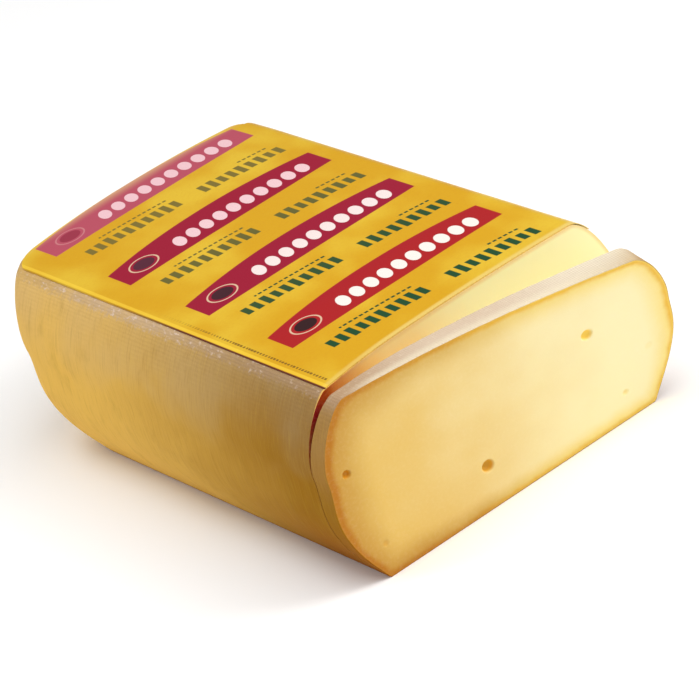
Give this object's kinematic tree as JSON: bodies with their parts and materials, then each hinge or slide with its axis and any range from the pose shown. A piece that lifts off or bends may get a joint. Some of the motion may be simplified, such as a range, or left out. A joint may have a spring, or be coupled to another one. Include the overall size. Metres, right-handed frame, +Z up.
{
  "type": "abbey cheese loaf with a cut slice",
  "caption": "Brick-shaped washed-rind cheese with bulging sides and a printed top film; a slice cut from its end stands against the cut, open at one corner.",
  "frame": {"origin": "centre of the whole thing's box in plan, on the floor it rests on", "axes": "+Z up; the loaf lies along Y with its rounded far end at +Y and the cut and the slice at -Y; +X is the right side seen from the cut, where the slice stands open"},
  "size_m": [0.1476, 0.2758, 0.0769],
  "materials": {
    "rind": "golden tan washed rind with pale bloom, dull with a faint greasy sheen",
    "paste": "smooth pale yellow cut paste, darker and orange at the rind, soft satin",
    "print": "warm yellow printed film with red bands, satin gloss"
  },
  "bodies": {
    "root": {"loaf": "rind", "slice": "paste", "label": "print"}
  },
  "joints": []
}
